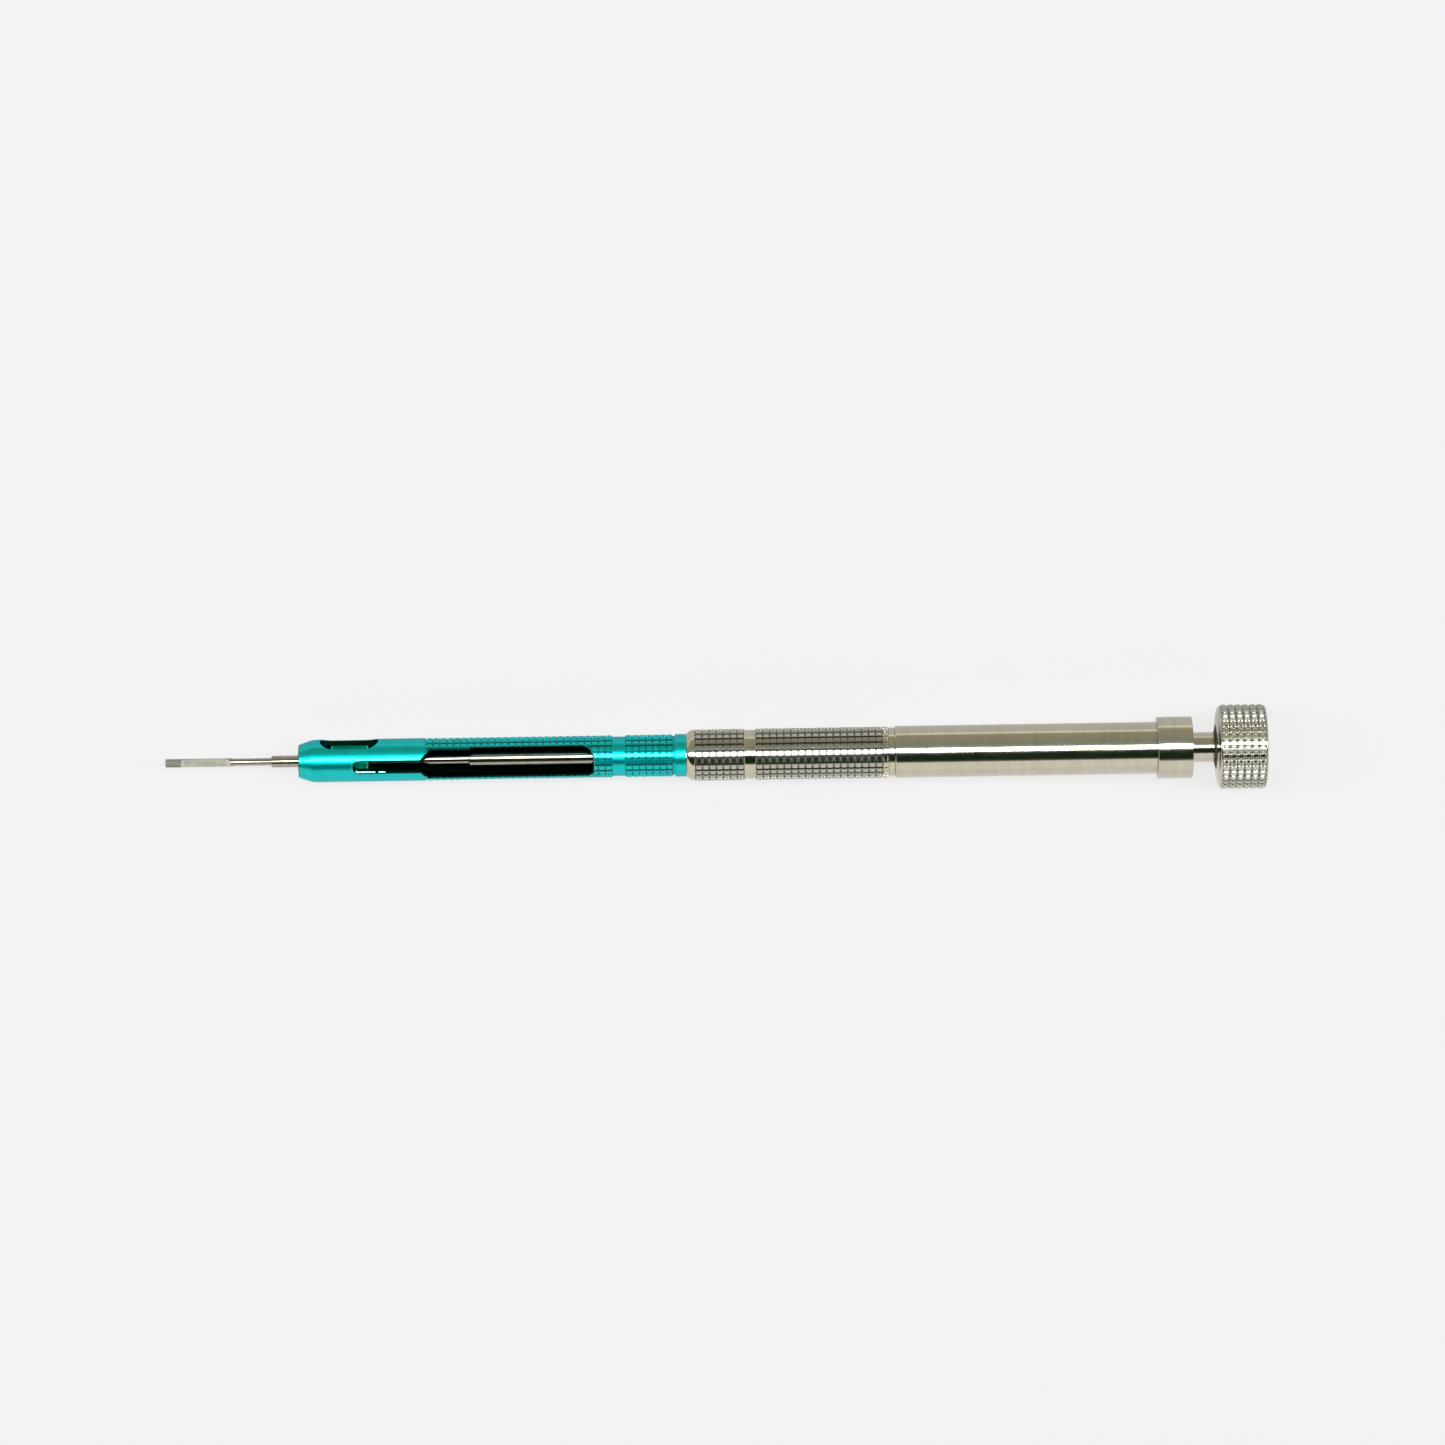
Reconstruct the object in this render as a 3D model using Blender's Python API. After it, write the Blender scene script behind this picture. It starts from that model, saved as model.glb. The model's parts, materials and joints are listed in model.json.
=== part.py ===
"""Screw-driven plunger handpiece, lying along X: tip towards -X, knob towards +X, +Z up.

Units are metres. Most pieces are turned about the tool's axis, so their shapes are outlines of
(station, radius) points. A station is a distance from the tip; the origin is halfway along the tool.
"""

import math

import bmesh
import bpy

MM = 0.001

# Stations along the tool, measured from the tip
OVERALL_LENGTH = 165.4 * MM
SCOOP_FRONT = 2.25 * MM
NECK_FRONT = 10.0 * MM
HUB_FRONT = 15.95 * MM
NOSE_FRONT = 20.07 * MM
CONE_REAR = 22.65 * MM
ROD_FRONT = 24.05 * MM
BUSH_FRONT = 24.9 * MM
BUSH_REAR = 30.6 * MM
ROD_STEP = 45.7 * MM
ADAPTER_FRONT = 66.5 * MM
BARREL_BAND = (67.2 * MM, 69.15 * MM)
BARREL_REAR = 78.3 * MM
ADAPTER_REAR = 79.7 * MM
CARRIAGE_FRONT = 83.0 * MM
ROD_REAR = 86.5 * MM
GRIP_BAND = (87.0 * MM, 88.75 * MM)
CARRIAGE_REAR = 91.0 * MM
SPIGOT_FRONT = 103.7 * MM
GRIP_REAR = 108.7 * MM
TUBE_FRONT = 109.65 * MM
NUT_SEAT = 145.9 * MM
COLLAR_FRONT = 149.05 * MM
TUBE_SHOULDER = 149.4 * MM
TUBE_REAR = 152.3 * MM
WIPER_GROOVE = (153.0 * MM, 153.6 * MM)
COLLAR_REAR = 154.3 * MM
KNOB_FRONT = 157.65 * MM
STEM_REAR = 163.0 * MM

# Radii
BLADE_R = 0.625 * MM
NECK_R = 0.55 * MM
HUB_R = 0.875 * MM
STUD_R = 0.5 * MM
THIN_ROD_R = 1.05 * MM
THICK_ROD_R = 1.425 * MM
NOSE_HOLE_R = 1.6 * MM
NOSE_FACE_R = 2.475 * MM
FRONT_BORE_R = 2.3 * MM
BARREL_BORE_R = 2.45 * MM
BARREL_BAND_R = 2.96 * MM
BARREL_R = 3.2 * MM
BORE_R = 2.5 * MM
FLANGE_R = 2.9 * MM
SPIGOT_R = 3.15 * MM
SKIRT_R = 3.6 * MM
BAND_R = 3.675 * MM
GRIP_R = 3.9 * MM
COLLAR_R = 4.65 * MM
STEM_R = 2.22 * MM
THREAD_R = 2.43 * MM
KNOB_R = 6.375 * MM
PIN_R = 0.4 * MM

# Clearance between fitted pieces, the length of a small turned edge, and how far cutters stand out
FIT = 0.05 * MM
EDGE = 0.1 * MM
REACH = 8.0 * MM

# Keyhole window: a narrow slot that opens into a wide window, cut on a slant
KEYHOLE_TURN = math.radians(20)
SLOT_FRONT = 28.2 * MM
SLOT_REAR = 38.35 * MM
SLOT_HALF = 0.955 * MM
WINDOW_HALF = 2.0 * MM
WINDOW_STEP_HALF = 2.5 * MM
WINDOW_REAR = 64.5 * MM
WINDOW_FLOOR = 0.5 * MM

# Side window: one slot with full-round ends
SIDE_TURN = math.radians(-70)
SIDE_FRONT = 23.25 * MM
SIDE_REAR = 32.1 * MM
SIDE_HALF = 1.9 * MM

# Keyway along the grip and tube, and the key that runs in it
KEY_HALF = 0.5 * MM
KEY_FRONT = 86.0 * MM
KEY_REAR = 90.0 * MM
KEY_FLOOR = 2.1 * MM
KEY_TOP = 2.8 * MM
KEYWAY_TOP = 2.92 * MM
KEYWAY_INSIDE = 1.5 * MM

# Cross pins
ROD_PIN = 84.6 * MM
KNOB_PIN = 161.6 * MM
STEM_PIN_TOP = 0.9 * MM
KNOB_PIN_TOP = 1.1 * MM
KNOB_PIN_FOOT = 5.9 * MM

# Journal that joins the screw to the sliding carriage
JOURNAL_R = 1.0 * MM
JOURNAL_FRONT = 88.0 * MM
CLIP_FRONT = 88.5 * MM
CLIP_REAR = 88.9 * MM
CLIP_GROOVE_R = 0.75 * MM

# Sides of round pieces
FINE_STEPS = 24
WIDE_STEPS = 32
KNOB_STEPS = 32
PIN_STEPS = 16
ARC_STEPS = 6


def clear_scene():
    for obj in list(bpy.data.objects):
        bpy.data.objects.remove(obj, do_unlink=True)


def station(distance):
    """World X of a distance from the tip."""
    return distance - OVERALL_LENGTH / 2


def metal(name, colour, roughness, metallic=1.0):
    material = bpy.data.materials.new(name)
    material.use_nodes = True
    shader = material.node_tree.nodes["Principled BSDF"]
    shader.inputs["Base Color"].default_value = (*colour, 1.0)
    shader.inputs["Roughness"].default_value = roughness
    shader.inputs["Metallic"].default_value = metallic
    return material


def body_frame(name):
    """An empty on the tool's axis that carries one moving body."""
    frame = bpy.data.objects.new(name, None)
    frame.empty_display_size = 5 * MM
    bpy.context.scene.collection.objects.link(frame)
    return frame


def scene_object(name, bm):
    """Turns a closed bmesh into an object with its faces pointing out."""
    bmesh.ops.recalc_face_normals(bm, faces=bm.faces)
    mesh = bpy.data.meshes.new(name)
    bm.to_mesh(mesh)
    bm.free()
    obj = bpy.data.objects.new(name, mesh)
    bpy.context.scene.collection.objects.link(obj)
    return obj


def piece(name, bm, frame, material):
    """A named piece that hangs on its body's frame."""
    obj = scene_object(name, bm)
    obj.data.shade_smooth()
    obj.data.set_sharp_from_angle(angle=math.radians(28))
    obj.data.materials.append(material)
    obj.parent = frame
    return obj


def cut(target, name, bm, turn=0.0):
    """Cuts a bmesh out of a piece; turn leans the cutter about the tool's axis."""
    cutter = scene_object(name, bm)
    cutter.hide_render = True
    cutter.display_type = "WIRE"
    cutter.rotation_euler.x = turn
    modifier = target.modifiers.new(name, "BOOLEAN")
    modifier.operation = "DIFFERENCE"
    modifier.solver = "EXACT"
    modifier.object = cutter


def close_loops(bm, bottom, top):
    """Faces over two matching loops and between them."""
    bm.faces.new(bottom)
    bm.faces.new(top)
    for i in range(len(bottom)):
        j = (i + 1) % len(bottom)
        bm.faces.new([bottom[i], bottom[j], top[j], top[i]])


def turned(name, outline, frame, material, steps=FINE_STEPS):
    """Spins a closed outline of (station, radius) points about X; flats face up and down."""
    bm = bmesh.new()
    rings = []
    for distance, radius in outline:
        if radius == 0:
            rings.append([bm.verts.new((station(distance), 0, 0))])
            continue
        angles = [2 * math.pi * (i + 0.5) / steps for i in range(steps)]
        points = [(station(distance), radius * math.cos(a), radius * math.sin(a)) for a in angles]
        rings.append([bm.verts.new(point) for point in points])
    for here, there in zip(rings, rings[1:] + rings[:1]):
        if len(here) == 1 and len(there) == 1:
            continue
        for i in range(steps):
            j = (i + 1) % steps
            corners = [here[i % len(here)], here[j % len(here)], there[j % len(there)], there[i % len(there)]]
            bm.faces.new(list(dict.fromkeys(corners)))
    return piece(name, bm, frame, material)


def ring(name, span, inner, outer, frame, material, edge=0.0, steps=FINE_STEPS):
    """A plain ring or bush over a span of stations, with its outer edges chamfered where asked."""
    front, rear = span
    outline = [(front, inner), (front, outer - edge)]
    if edge:
        outline += [(front + edge, outer), (rear - edge, outer)]
    outline += [(rear, outer - edge), (rear, inner)]
    return turned(name, outline, frame, material, steps)


def arc(centre, radius, start, end, steps=ARC_STEPS):
    """Points on an arc, angles in degrees."""
    points = []
    for i in range(steps + 1):
        angle = math.radians(start + (end - start) * i / steps)
        points.append((centre[0] + radius * math.cos(angle), centre[1] + radius * math.sin(angle)))
    return points


def plan_block(outline, low, high):
    """A flat (x, y) outline pushed from low to high along Z."""
    bm = bmesh.new()
    loops = [[bm.verts.new((x, y, height)) for x, y in outline] for height in (low, high)]
    close_loops(bm, *loops)
    return bm


def side_block(outline, half_width):
    """A flat (x, z) outline pushed across the tool, half_width to each side."""
    bm = bmesh.new()
    loops = [[bm.verts.new((x, y, z)) for x, z in outline] for y in (-half_width, half_width)]
    close_loops(bm, *loops)
    return bm


def cross_bar(distance, radius, low, high, axis):
    """A round bar across the tool, from low to high along Y or Z."""
    bm = bmesh.new()
    loops = []
    for height in (low, high):
        loop = []
        for i in range(PIN_STEPS):
            angle = 2 * math.pi * i / PIN_STEPS
            x, side = station(distance) + radius * math.cos(angle), radius * math.sin(angle)
            loop.append(bm.verts.new((x, height, side) if axis == "Y" else (x, side, height)))
        loops.append(loop)
    close_loops(bm, *loops)
    return bm


def key_block(front, rear, grow, low, high):
    """A block along the keyway, grown by a clearance on its sides."""
    half = KEY_HALF + grow
    outline = [
        (station(front), -half), (station(rear), -half), (station(rear), half), (station(front), half),
    ]
    return plan_block(outline, low, high)


# Pieces that stay still

def keyhole_block():
    low_round = 1.05 * MM
    high_round = 1.9 * MM
    step_round = WINDOW_STEP_HALF - WINDOW_HALF
    flare = WINDOW_HALF - SLOT_HALF
    rear = station(WINDOW_REAR)
    neck = station(SLOT_REAR)
    outline = arc((rear - low_round, low_round - WINDOW_HALF), low_round, 0, -90)
    outline += [(neck + flare, -WINDOW_HALF), (neck, -SLOT_HALF)]
    outline += arc((station(SLOT_FRONT) + SLOT_HALF, 0), SLOT_HALF, -90, -270, 2 * ARC_STEPS)
    outline += [(neck, SLOT_HALF), (neck + flare, WINDOW_HALF)]
    outline += arc((station(ROD_STEP) + step_round, WINDOW_HALF), step_round, 180, 90)
    outline += arc((rear - high_round, WINDOW_STEP_HALF - high_round), high_round, 90, 0)
    return plan_block(outline, WINDOW_FLOOR, REACH)


def side_window_block():
    outline = arc((station(SIDE_FRONT) + SIDE_HALF, 0), SIDE_HALF, 90, 270, 2 * ARC_STEPS)
    outline += arc((station(SIDE_REAR) - SIDE_HALF, 0), SIDE_HALF, -90, 90, 2 * ARC_STEPS)
    return plan_block(outline, WINDOW_FLOOR, REACH)


def make_barrel(handle, teal):
    """The anodised barrel: coned nose, knurl bands at their full size, two windows."""
    cone_break = (21.9 * MM, 3.11 * MM)
    front_land = 22.6 * MM
    bore_step = 31.95 * MM
    band_front, band_rear = BARREL_BAND
    outline = [
        (NOSE_FRONT, NOSE_HOLE_R), (NOSE_FRONT, NOSE_FACE_R), cone_break, (CONE_REAR, BARREL_R),
        (band_front, BARREL_R), (band_front + EDGE, BARREL_BAND_R),
        (band_rear - EDGE, BARREL_BAND_R), (band_rear, BARREL_R),
        (BARREL_REAR, BARREL_R), (BARREL_REAR, BARREL_BORE_R),
        (bore_step, BARREL_BORE_R), (bore_step, FRONT_BORE_R),
        (front_land, FRONT_BORE_R), (front_land, NOSE_HOLE_R),
    ]
    barrel = turned("nose_barrel", outline, handle, teal, WIDE_STEPS)
    cut(barrel, "keyhole_cutter", keyhole_block(), KEYHOLE_TURN)
    cut(barrel, "side_window_cutter", side_window_block(), SIDE_TURN)


def make_adapter(handle, steel):
    """Spigot that joins barrel and grip, with a flange between them and a seat for the rod bush."""
    flange_rear = 79.0 * MM
    seat_rear = 71.5 * MM
    seat_r = 2.0 * MM
    bore_r = THICK_ROD_R + 0.125 * MM
    outline = [
        (ADAPTER_FRONT, seat_r), (ADAPTER_FRONT, BARREL_BORE_R - FIT),
        (BARREL_REAR + FIT, BARREL_BORE_R - FIT), (BARREL_REAR + FIT, FLANGE_R),
        (flange_rear, FLANGE_R), (flange_rear, BORE_R - FIT),
        (ADAPTER_REAR, BORE_R - FIT), (ADAPTER_REAR, bore_r),
        (seat_rear, bore_r), (seat_rear, seat_r),
    ]
    turned("barrel_adapter", outline, handle, steel)


def make_bushes(handle, teal, bronze, rubber):
    """The two guides of the rod, and the ring clamped between barrel and grip."""
    ring("nose_guide_bush", (BUSH_FRONT, BUSH_REAR), THIN_ROD_R + FIT, FRONT_BORE_R - FIT, handle, teal,
         edge=3 * EDGE)
    ring("rod_guide_bush", (66.6 * MM, 71.4 * MM), THICK_ROD_R + FIT, 1.95 * MM, handle, bronze)
    ring("barrel_joint_ring", (79.05 * MM, 79.45 * MM), BORE_R + FIT / 2, FLANGE_R, handle, rubber)


def make_grip(handle, steel):
    """Knurled grip at its full size, with the turned band and the seat for the tube's spigot."""
    flange_seat_rear = 79.5 * MM
    chamfer = [(78.9 * MM, 3.75 * MM), (79.65 * MM, GRIP_R)]
    front_face_r = 3.3 * MM
    band_front, band_rear = GRIP_BAND
    seat_front = SPIGOT_FRONT - EDGE
    outline = [
        (BARREL_REAR + FIT, FLANGE_R + FIT), (BARREL_REAR + FIT, front_face_r), *chamfer,
        (band_front, GRIP_R), (band_front + EDGE, BAND_R),
        (band_rear - EDGE, BAND_R), (band_rear, GRIP_R),
        (GRIP_REAR - EDGE, GRIP_R), (GRIP_REAR, GRIP_R - EDGE),
        (GRIP_REAR, SPIGOT_R + FIT), (seat_front, SPIGOT_R + FIT),
        (seat_front, BORE_R), (flange_seat_rear, BORE_R), (flange_seat_rear, FLANGE_R + FIT),
    ]
    grip = turned("grip_sleeve", outline, handle, steel, WIDE_STEPS)
    keyway = key_block(flange_seat_rear - 5 * EDGE, SPIGOT_FRONT + 3 * EDGE, FIT, -KEYWAY_TOP, -KEYWAY_INSIDE)
    cut(grip, "grip_keyway_cutter", keyway)


def make_tube(handle, steel):
    """Plain tube: front spigot in the grip, bored for the carriage, counterbored for the nut."""
    outline = [
        (SPIGOT_FRONT, BORE_R), (SPIGOT_FRONT, SPIGOT_R), (TUBE_FRONT, SPIGOT_R),
        (TUBE_FRONT, GRIP_R - EDGE), (TUBE_FRONT + EDGE, GRIP_R),
        (TUBE_SHOULDER, GRIP_R), (TUBE_SHOULDER, SKIRT_R),
        (TUBE_REAR, SKIRT_R), (TUBE_REAR, SPIGOT_R + FIT),
        (NUT_SEAT, SPIGOT_R + FIT), (NUT_SEAT, BORE_R),
    ]
    tube = turned("rear_tube", outline, handle, steel, WIDE_STEPS)
    keyway = key_block(SPIGOT_FRONT - 7 * EDGE, NUT_SEAT + 4 * EDGE, FIT, -KEYWAY_TOP, -KEYWAY_INSIDE)
    cut(tube, "tube_keyway_cutter", keyway)
    ring("tube_joint_ring", (GRIP_REAR + FIT, TUBE_FRONT - FIT), SPIGOT_R + FIT, BAND_R, handle, steel,
         steps=WIDE_STEPS)


def make_nut(handle, bronze):
    nut_rear = 151.2 * MM
    ring("lead_nut", (NUT_SEAT + EDGE, nut_rear), THREAD_R + 0.07 * MM, SPIGOT_R, handle, bronze)
    ring("nut_spacer", (nut_rear + EDGE, TUBE_REAR - EDGE), THREAD_R + 0.17 * MM, SPIGOT_R, handle, bronze)


def make_collar(handle, steel, rubber):
    """Collar screwed over the tube's end, with a groove inside for the wiper ring."""
    hole_r = THREAD_R + 0.12 * MM
    groove_r = 3.05 * MM
    groove_front, groove_rear = WIPER_GROOVE
    outline = [
        (COLLAR_FRONT, GRIP_R + FIT), (COLLAR_FRONT, COLLAR_R - EDGE), (COLLAR_FRONT + EDGE, COLLAR_R),
        (COLLAR_REAR - EDGE, COLLAR_R), (COLLAR_REAR, COLLAR_R - EDGE), (COLLAR_REAR, hole_r),
        (groove_rear, hole_r), (groove_rear, groove_r), (groove_front, groove_r), (groove_front, hole_r),
        (TUBE_REAR + FIT, hole_r), (TUBE_REAR + FIT, SKIRT_R + FIT),
        (TUBE_SHOULDER + FIT, SKIRT_R + FIT), (TUBE_SHOULDER + FIT, GRIP_R + FIT),
    ]
    turned("end_collar", outline, handle, steel, WIDE_STEPS)
    ring("collar_wiper_ring", (groove_front + FIT, groove_rear - FIT), THREAD_R + 0.07 * MM,
         groove_r - FIT, handle, rubber)


# Pieces that slide

def make_tip(slider, bright):
    """Scooped flat tip, neck, hub and the stud that screws into the rod."""
    stud_rear = 27.0 * MM
    outline = [
        (0.0, 0), (0.0, BLADE_R - EDGE), (EDGE, BLADE_R), (NECK_FRONT, BLADE_R),
        (NECK_FRONT + EDGE, NECK_R), (HUB_FRONT - EDGE, NECK_R), (HUB_FRONT, HUB_R),
        (ROD_FRONT - FIT, HUB_R), (ROD_FRONT - FIT, STUD_R), (stud_rear, STUD_R), (stud_rear, 0),
    ]
    tip = turned("driver_tip", outline, slider, bright)
    flat = 0.12 * MM
    front_sweep = 0.75 * MM
    rear_sweep = 1.2 * MM
    scoop = [(station(SCOOP_FRONT), REACH)]
    scoop += arc((station(SCOOP_FRONT) + front_sweep, flat + front_sweep), front_sweep, 180, 270)
    scoop += arc((station(NECK_FRONT) - rear_sweep, flat + rear_sweep), rear_sweep, -90, 0)
    scoop += [(station(NECK_FRONT), REACH)]
    cut(tip, "scoop_cutter", side_block(scoop, REACH), KEYHOLE_TURN)


def make_rod(slider, bright):
    """Stepped rod, thin in front and thick behind, bored for the tip's stud and for the lock pin."""
    shoulder = 0.3 * MM
    socket_rear = 27.4 * MM
    outline = [
        (socket_rear, 0), (socket_rear, STUD_R + FIT), (ROD_FRONT, STUD_R + FIT), (ROD_FRONT, THIN_ROD_R),
        (ROD_STEP, THIN_ROD_R), (ROD_STEP, THICK_ROD_R - shoulder),
        (ROD_STEP + shoulder * 0.3, THICK_ROD_R - shoulder * 0.3),
        (ROD_STEP + shoulder, THICK_ROD_R), (ROD_REAR, THICK_ROD_R), (ROD_REAR, 0),
    ]
    rod = turned("push_rod", outline, slider, bright)
    cut(rod, "rod_pin_hole", cross_bar(ROD_PIN, PIN_R + FIT, -REACH, REACH, "Y"))


def make_carriage(slider, bronze):
    """Keyed slider: bored for the rod in front, hollowed behind for the screw's journal."""
    chamber_r = 1.95 * MM
    chamber_front = 87.2 * MM
    outer = BORE_R - FIT
    edge = 2 * EDGE
    outline = [
        (ROD_REAR + EDGE, 0), (ROD_REAR + EDGE, THICK_ROD_R + FIT), (CARRIAGE_FRONT, THICK_ROD_R + FIT),
        (CARRIAGE_FRONT, outer - edge), (CARRIAGE_FRONT + edge, outer),
        (CARRIAGE_REAR - edge, outer), (CARRIAGE_REAR, outer - edge),
        (CARRIAGE_REAR, chamber_r), (chamber_front, chamber_r), (chamber_front, 0),
    ]
    carriage = turned("rod_carriage", outline, slider, bronze)
    cut(carriage, "carriage_pin_hole", cross_bar(ROD_PIN, PIN_R + FIT, -REACH, REACH, "Y"))
    key_seat = key_block(KEY_FRONT - FIT, KEY_REAR + FIT, FIT, -REACH, -KEY_FLOOR)
    cut(carriage, "key_seat_cutter", key_seat)
    cap_front = 89.45 * MM
    ring("carriage_cap", (cap_front, CARRIAGE_REAR), JOURNAL_R + FIT, chamber_r - FIT, slider, bronze)


def make_key_and_pin(slider, bright):
    half_pin = 2.2 * MM
    piece("guide_key", key_block(KEY_FRONT, KEY_REAR, 0.0, -KEY_TOP, -KEY_FLOOR - FIT), slider, bright)
    piece("rod_lock_pin", cross_bar(ROD_PIN, PIN_R, -half_pin, half_pin, "Y"), slider, bright)


# Pieces that turn with the knob

def make_screw(turner, steel):
    """Journal in the carriage, screw at its crest size, plain stem, and the seat in the knob."""
    screw_front = CARRIAGE_REAR + 3 * EDGE
    screw_rear = 153.0 * MM
    relief = 2 * EDGE
    seat_r = STEM_R - relief
    outline = [
        (JOURNAL_FRONT, 0), (JOURNAL_FRONT, JOURNAL_R),
        (CLIP_FRONT - FIT, JOURNAL_R), (CLIP_FRONT - FIT, CLIP_GROOVE_R),
        (CLIP_REAR + FIT, CLIP_GROOVE_R), (CLIP_REAR + FIT, JOURNAL_R),
        (screw_front, JOURNAL_R), (screw_front, THREAD_R - relief),
        (screw_front + relief, THREAD_R), (screw_rear - relief, THREAD_R), (screw_rear, STEM_R),
        (KNOB_FRONT - FIT, STEM_R), (KNOB_FRONT - FIT, seat_r), (STEM_REAR, seat_r), (STEM_REAR, 0),
    ]
    screw = turned("lead_screw", outline, turner, steel)
    cut(screw, "stem_pin_hole", cross_bar(KNOB_PIN, PIN_R + FIT, -REACH, -STEM_PIN_TOP, "Z"))


def make_swivel(turner, bright, plastic):
    """Thrust washers either side of the clip that holds the journal in the carriage."""
    front, rear, outer = 87.3 * MM, 87.9 * MM, 1.88 * MM
    turned("front_thrust_washer", [(front, 0), (front, outer), (rear, outer), (rear, 0)], turner, plastic)
    ring("swivel_clip", (CLIP_FRONT, CLIP_REAR), CLIP_GROOVE_R + FIT, 1.75 * MM, turner, bright)
    ring("rear_thrust_washer", (88.97 * MM, 89.37 * MM), JOURNAL_R + FIT, 1.85 * MM, turner, plastic)


def make_knob(turner, steel, bright):
    """Knob at the size of its bead crests: rounded front shoulder, blind bore, cross pin below."""
    rim_r = 3.35 * MM
    shoulder = 0.95 * MM
    shoulder_foot = (KNOB_FRONT + FIT, KNOB_R - shoulder - 0.6 * MM)
    rear_edge = 3 * EDGE
    bore_r = STEM_R - 2 * EDGE + FIT
    bore_end = STEM_REAR + EDGE
    outline = [(bore_end, 0), (bore_end, bore_r), (KNOB_FRONT, bore_r), (KNOB_FRONT, rim_r), shoulder_foot]
    outline += arc((KNOB_FRONT + shoulder, KNOB_R - shoulder), shoulder, 165, 90, 4)
    outline += [(OVERALL_LENGTH - rear_edge, KNOB_R), (OVERALL_LENGTH, KNOB_R - rear_edge)]
    outline += [(OVERALL_LENGTH, 0)]
    knob = turned("knob", outline, turner, steel, KNOB_STEPS)
    cut(knob, "knob_pin_hole", cross_bar(KNOB_PIN, PIN_R + FIT, -REACH, -KNOB_PIN_TOP, "Z"))
    piece("knob_lock_pin", cross_bar(KNOB_PIN, PIN_R, -KNOB_PIN_FOOT, -KNOB_PIN_TOP, "Z"), turner, bright)


def build():
    clear_scene()
    teal = metal("teal_anodising", (0.0, 0.38, 0.36), 0.22)
    steel = metal("turned_steel", (0.62, 0.6, 0.55), 0.28)
    bright = metal("polished_steel", (0.68, 0.67, 0.64), 0.18)
    bronze = metal("bronze", (0.55, 0.38, 0.2), 0.35)
    rubber = metal("black_rubber", (0.02, 0.02, 0.02), 0.7, 0.0)
    plastic = metal("white_plastic", (0.75, 0.75, 0.72), 0.45, 0.0)

    handle = body_frame("handle_frame")
    slider = body_frame("push_rod_frame")
    slider.parent = handle
    turner = body_frame("knob_screw_frame")
    turner.parent = slider

    make_barrel(handle, teal)
    make_adapter(handle, steel)
    make_bushes(handle, teal, bronze, rubber)
    make_grip(handle, steel)
    make_tube(handle, steel)
    make_nut(handle, bronze)
    make_collar(handle, steel, rubber)

    make_tip(slider, bright)
    make_rod(slider, bright)
    make_carriage(slider, bronze)
    make_key_and_pin(slider, bright)

    make_screw(turner, steel)
    make_swivel(turner, bright, plastic)
    make_knob(turner, steel, bright)


build()
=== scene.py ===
"""Looks of the screw-driven plunger handpiece.

Beaded knurls, cut windows, turned and anodised metal, on a pale table under a strip light."""

import json
import math

import bmesh
import bpy
import numpy as np
from mathutils import Matrix, Vector


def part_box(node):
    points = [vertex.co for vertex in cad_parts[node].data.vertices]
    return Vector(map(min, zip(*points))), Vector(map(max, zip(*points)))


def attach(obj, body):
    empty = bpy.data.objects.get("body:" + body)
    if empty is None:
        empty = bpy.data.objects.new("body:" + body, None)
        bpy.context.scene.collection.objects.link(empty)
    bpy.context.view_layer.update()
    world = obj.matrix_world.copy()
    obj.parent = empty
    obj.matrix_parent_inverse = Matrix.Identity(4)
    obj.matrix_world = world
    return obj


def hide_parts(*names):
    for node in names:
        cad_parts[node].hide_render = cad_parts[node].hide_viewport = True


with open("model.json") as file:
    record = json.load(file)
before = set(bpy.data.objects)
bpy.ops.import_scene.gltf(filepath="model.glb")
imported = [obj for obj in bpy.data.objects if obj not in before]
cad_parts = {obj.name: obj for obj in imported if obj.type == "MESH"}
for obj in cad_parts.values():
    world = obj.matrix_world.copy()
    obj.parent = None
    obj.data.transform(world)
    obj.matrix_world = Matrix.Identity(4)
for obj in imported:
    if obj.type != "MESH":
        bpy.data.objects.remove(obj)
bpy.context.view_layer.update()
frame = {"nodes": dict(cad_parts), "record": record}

MM = 0.001
TIP_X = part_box("driver_tip")[0].x
NOSE_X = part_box("nose_barrel")[0].x
BARREL_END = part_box("nose_barrel")[1].x
GRIP_X, GRIP_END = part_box("grip_sleeve")[0].x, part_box("grip_sleeve")[1].x
COLLAR_X, COLLAR_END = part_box("end_collar")[0].x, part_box("end_collar")[1].x
KNOB_X, KNOB_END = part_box("knob")[0].x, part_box("knob")[1].x

# Radii of the turned pieces
BARREL_R = 3.2 * MM
BARREL_BAND_R = 2.96 * MM
GRIP_R = 3.9 * MM
GRIP_BAND_R = 3.675 * MM
COLLAR_R = 4.65 * MM
KNOB_R = 6.375 * MM
STEM_R = 2.22 * MM
THREAD_R = 2.43 * MM
THREAD_LEAD = 4.0 * MM
THREAD_STARTS = 2
BORE_R = 2.5 * MM

# Keyway along the underside of the grip's and tube's bore, in millimetres
KEYWAY_ACROSS = (-0.55, 0.55)
KEYWAY_HEIGHT = (-2.92, -1.5)

# Roll angles of the barrel's two windows about its axis
KEYHOLE_TURN = math.radians(20)
SIDE_TURN = math.radians(-70)
OUTLINE_SPACING = 0.4 * MM

# Steps round a plain turned piece, and the angle from which an edge is drawn sharp
TURNED_STEPS = 128
SHARP_ANGLE = math.radians(32)

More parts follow.
